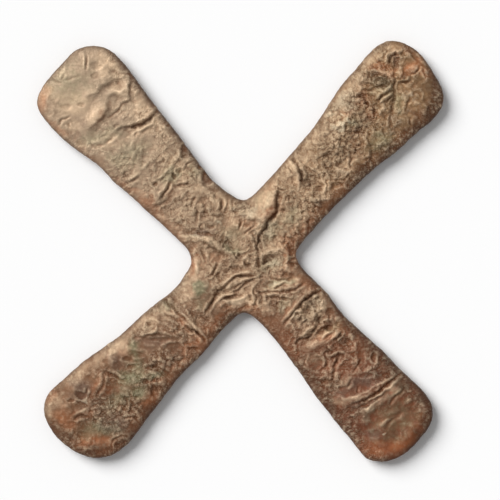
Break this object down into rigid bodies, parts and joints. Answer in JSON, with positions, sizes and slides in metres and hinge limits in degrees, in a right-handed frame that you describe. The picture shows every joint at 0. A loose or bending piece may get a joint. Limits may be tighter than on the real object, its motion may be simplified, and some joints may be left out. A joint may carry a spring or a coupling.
{
  "type": "katanga cross",
  "caption": "Flat X-shaped ingot of cast copper with four flared, round-ended arms, a wrinkled open face and a flat sand-cast underside.",
  "frame": {"origin": "middle of the outline's box, on the flat underside", "axes": "+Z out of the wrinkled open face, +Y along the longer side of the outline's box, towards the north arms"},
  "size_m": [0.2032, 0.2104, 0.0101],
  "materials": {
    "copper": "weathered cast copper, brown patina with bare copper edges and green spots"
  },
  "bodies": {
    "root": {"cast_cross": "copper"}
  },
  "joints": []
}
